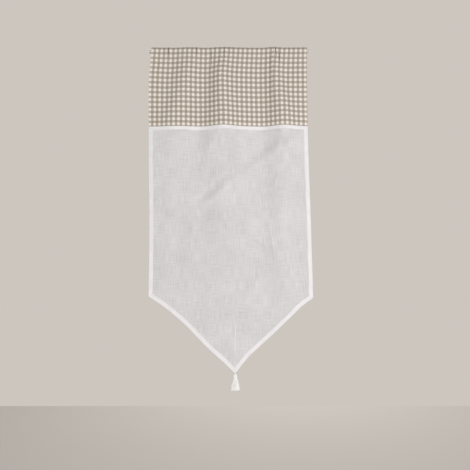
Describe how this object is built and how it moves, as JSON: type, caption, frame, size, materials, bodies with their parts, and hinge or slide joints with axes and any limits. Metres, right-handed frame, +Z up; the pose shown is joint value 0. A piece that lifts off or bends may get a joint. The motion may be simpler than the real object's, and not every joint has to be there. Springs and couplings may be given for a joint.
{
  "type": "cafe curtain with rod",
  "caption": "Pointed cafe curtain: gingham heading with a rod pocket, sheer panel bordered in white tape and a yarn tassel, hung on a slim rod with wire hooks.",
  "frame": {"origin": "midway between the two hooks, on the plane that their plates are fixed to, at the height of the rod's axis", "axes": "+Z up along the curtain's drop, +X to the right seen from the front, the front faces -Y"},
  "size_m": [0.6058, 0.0649, 1.2597],
  "materials": {
    "white_metal": "satin white paint",
    "gingham_cotton": "plain woven cotton, taupe and white checks",
    "sheer_linen": "semi-sheer plain weave with faint slubs",
    "white_tape": "close woven white tape",
    "tassel_yarn": "soft white yarn"
  },
  "bodies": {
    "root": {"rod": "white_metal", "hook_left": "white_metal", "hook_right": "white_metal", "gingham_panel": "gingham_cotton", "sheer_panel": "sheer_linen", "tape_join": "white_tape", "tape_left": "white_tape", "tape_right": "white_tape", "tape_point_left": "white_tape", "tape_point_right": "white_tape", "tassel": "tassel_yarn"}
  },
  "joints": []
}
